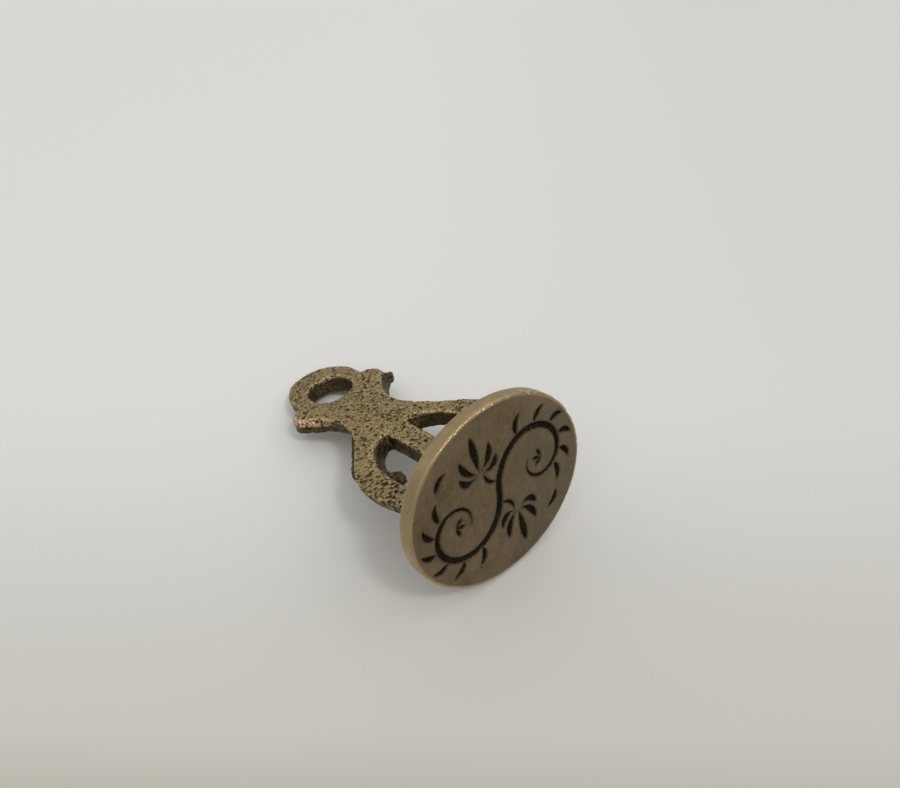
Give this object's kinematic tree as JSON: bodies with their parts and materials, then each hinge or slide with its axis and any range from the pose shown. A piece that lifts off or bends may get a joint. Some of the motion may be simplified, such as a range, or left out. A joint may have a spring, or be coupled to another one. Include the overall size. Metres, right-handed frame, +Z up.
{
  "type": "hand-held personal seal",
  "caption": "Hand-held brass seal: oval engraved die plate, with a flat cast openwork handle that stands on it on three feet and ends in a hanging ring.",
  "frame": {"origin": "on the table under the middle of the seal's box, with the seal lying on its die plate's rim and its ring's end", "axes": "+X is level and points out of the side of the engraved face, +Y is level across the handle's width, +Z is up"},
  "size_m": [0.0334, 0.02, 0.0175],
  "materials": {
    "die_brass": "worn satin with fine brushed scratches, and blackened engraving",
    "cast_brass": "as cast, closely pitted, dark in the pits and rubbed bright on the edges",
    "hard_solder": "dull, slightly pale"
  },
  "bodies": {
    "root": {"die_plate": "die_brass", "openwork_handle": "cast_brass", "solder_left_foot": "hard_solder", "solder_middle_foot": "hard_solder", "solder_right_foot": "hard_solder"}
  },
  "joints": []
}
